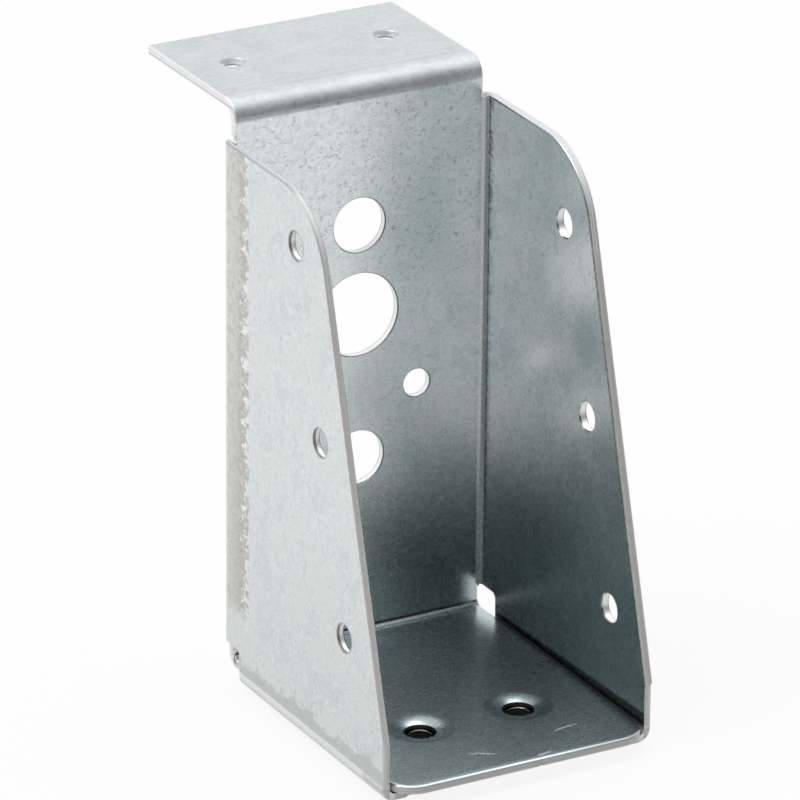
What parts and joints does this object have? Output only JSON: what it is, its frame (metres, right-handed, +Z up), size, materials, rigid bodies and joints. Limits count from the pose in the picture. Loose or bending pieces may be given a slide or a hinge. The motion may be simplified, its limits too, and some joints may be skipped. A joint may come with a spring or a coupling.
{
  "type": "joist hanger",
  "caption": "Folded galvanised joist hanger: a U-shaped seat between tapered side flanges, with a back plate and a top lip that hooks over the header.",
  "frame": {"origin": "centre of the seat's top face, in the middle of the joist's bearing length and on the centre plane between the side flanges", "axes": "+X across the joist towards the right flange as seen from the joist, +Y along the joist towards the header, +Z up"},
  "size_m": [0.0754, 0.1338, 0.1544],
  "materials": {
    "galvanised_sheet": "hot-dip galvanised sheet, dull and mottled, with bare sheared edges"
  },
  "bodies": {
    "root": {"hanger": "galvanised_sheet"}
  },
  "joints": []
}
